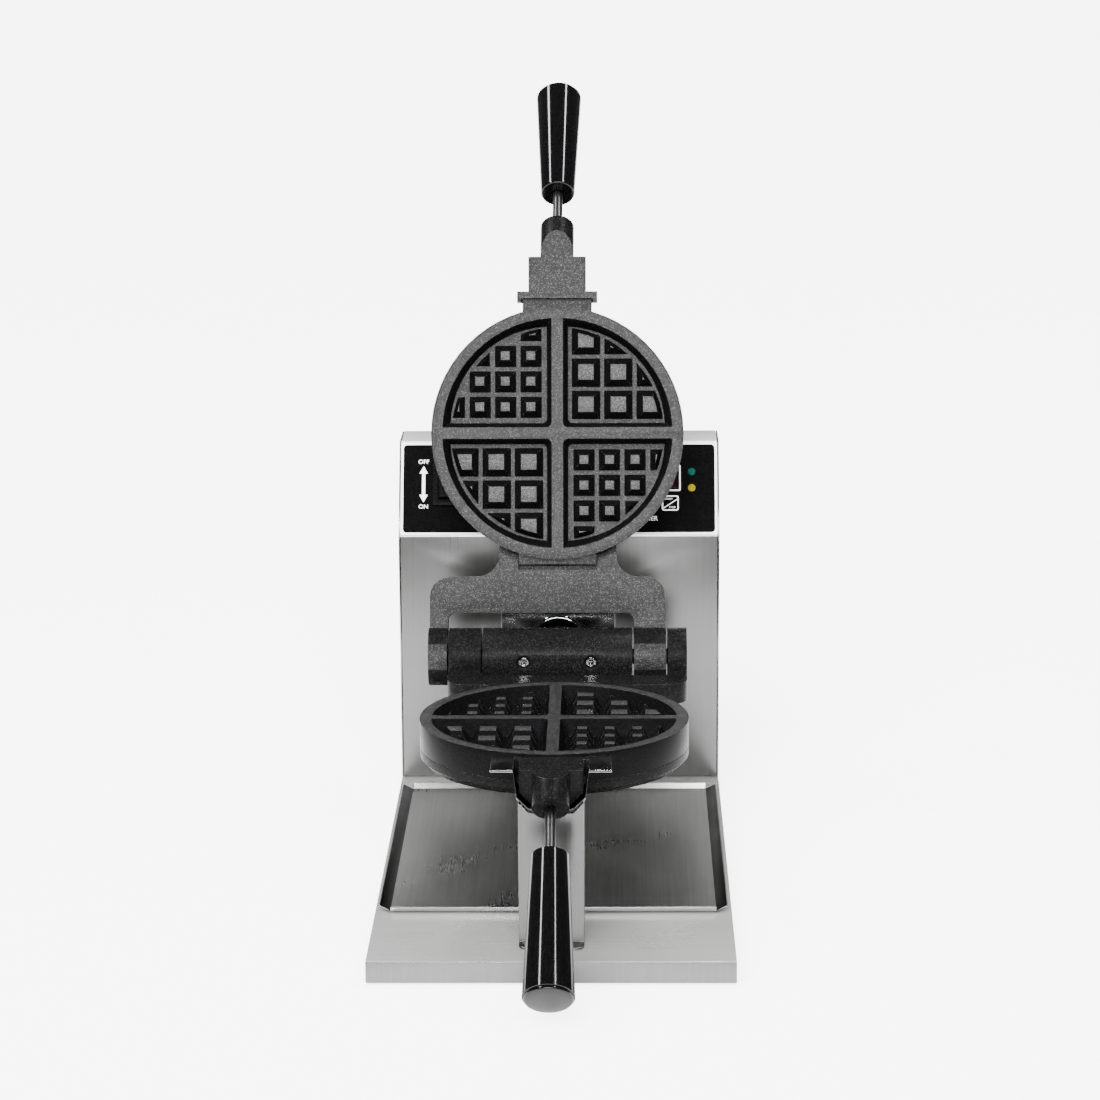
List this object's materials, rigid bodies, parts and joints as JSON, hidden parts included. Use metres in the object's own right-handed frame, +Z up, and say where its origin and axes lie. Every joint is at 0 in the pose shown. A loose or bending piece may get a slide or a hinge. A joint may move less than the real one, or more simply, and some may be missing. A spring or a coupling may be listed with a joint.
{
  "type": "waffle maker",
  "caption": "Counter-top rotary waffle maker, shown open: round hinged baking halves with handles on a turning shaft, over a folded steel stand with drip tray and sloping control panel.",
  "frame": {"origin": "centre of the bounding box in plan, on the surface that the feet stand on", "axes": "+X to the user's right, +Y away from the user, +Z up"},
  "size_m": [0.252, 0.6809, 0.5572],
  "materials": {
    "brushed_stainless": "brushed and lightly polished stainless sheet",
    "bright_steel": "bright turned ring",
    "black_casting": "cast, black non-stick coat with fine grey speckle",
    "nonstick_coating": "black non-stick coat, grey speckle on the upper faces",
    "black_plastic": "gloss black",
    "dark_rod": "blackened steel",
    "panel_label": "black printed overlay, satin",
    "display_glass": "dark red filter",
    "green_lens": "translucent green",
    "yellow_lens": "translucent yellow",
    "rubber": "matt black",
    "board_green": "glass-fibre board",
    "heater_steel": "oxidised sheath",
    "transformer_iron": "varnished iron",
    "bronze": "plain bush",
    "nylon": "natural nylon"
  },
  "bodies": {
    "stand": {"base_pan": "brushed_stainless", "bearing_box": "brushed_stainless", "bottom_plate": "brushed_stainless", "circuit_board": "board_green", "control_label": "panel_label", "control_panel": "brushed_stainless", "cradle": "brushed_stainless", "foot_front_left": "rubber", "foot_front_right": "rubber", "foot_rear_left": "rubber", "foot_rear_right": "rubber", "front_bearing": "bronze", "front_panel": "brushed_stainless", "green_lamp": "green_lens", "left_side": "brushed_stainless", "mains_inlet": "black_plastic", "rear_bearing": "transformer_iron", "rear_cover": "brushed_stainless", "relay": "black_plastic", "right_side": "brushed_stainless", "shaft_ring": "bright_steel", "support_post": "brushed_stainless", "switch_bezel": "black_plastic", "terminal_block": "nylon", "timer_display": "display_glass", "transformer": "transformer_iron", "yellow_lamp": "yellow_lens"},
    "turning_head": {"hinge_barrel": "black_casting", "hinge_pin": "dark_rod", "set_screw_left": "dark_rod", "set_screw_right": "dark_rod", "turning_shaft": "dark_rod", "shaft_collar": "dark_rod"},
    "lower_half": {"lower_frame": "black_casting", "lower_heater": "heater_steel", "lower_thermostat": "nylon", "lower_rod": "dark_rod", "lower_grip": "black_plastic", "lower_end_cap": "black_plastic"},
    "lower_grid": {"lower_grid": "nonstick_coating"},
    "upper_half": {"upper_frame": "black_casting", "upper_heater": "heater_steel", "upper_thermostat": "nylon", "upper_rod": "dark_rod", "upper_grip": "black_plastic", "upper_end_cap": "black_plastic"},
    "upper_grid": {"upper_grid": "nonstick_coating"},
    "drip_tray": {"drip_tray": "brushed_stainless"},
    "power_rocker": {"power_rocker": "black_plastic"},
    "down_key": {"down_key": "panel_label"},
    "up_key": {"up_key": "panel_label"},
    "start_stop_key": {"start_stop_key": "panel_label"}
  },
  "joints": [
    {"name": "head_turn", "type": "hinge", "parent": "stand", "child": "turning_head", "pos_m": [0, 0.11201, 0.1395], "axis": [0, 1, 0], "range_deg": [-1, 1]},
    {"name": "head_lift", "type": "hinge", "parent": "turning_head", "child": "lower_half", "pos_m": [0, 0.11201, 0.1395], "axis": [-1, 0, 0], "range_deg": [0, 6]},
    {"name": "lid_close", "type": "hinge", "parent": "lower_half", "child": "upper_half", "pos_m": [0, 0.11201, 0.1395], "axis": [1, 0, 0], "range_deg": [0, 103.5]},
    {"name": "lower_grid_release", "type": "slide", "parent": "lower_half", "child": "lower_grid", "axis": [0, 1, 0], "range_m": [0, 0.004]},
    {"name": "upper_grid_release", "type": "slide", "parent": "upper_half", "child": "upper_grid", "axis": [0, -0.2334, -0.9724], "range_m": [0, 0.004]},
    {"name": "tray_slide", "type": "slide", "parent": "stand", "child": "drip_tray", "axis": [1, 0, 0], "range_m": [-0.24, 0.24]},
    {"name": "rocker_tilt", "type": "hinge", "parent": "stand", "child": "power_rocker", "pos_m": [-0.0855, 0.21836, 0.25128], "axis": [1, 0, 0], "range_deg": [0, 14]},
    {"name": "down_key_press", "type": "slide", "parent": "stand", "child": "down_key", "axis": [0, 0.891, -0.454], "range_m": [0, 0.0005], "stiffness_N_per_m": 600},
    {"name": "up_key_press", "type": "slide", "parent": "stand", "child": "up_key", "axis": [0, 0.891, -0.454], "range_m": [0, 0.0005], "stiffness_N_per_m": 600},
    {"name": "start_stop_key_press", "type": "slide", "parent": "stand", "child": "start_stop_key", "axis": [0, 0.891, -0.454], "range_m": [0, 0.0005], "stiffness_N_per_m": 600}
  ]
}
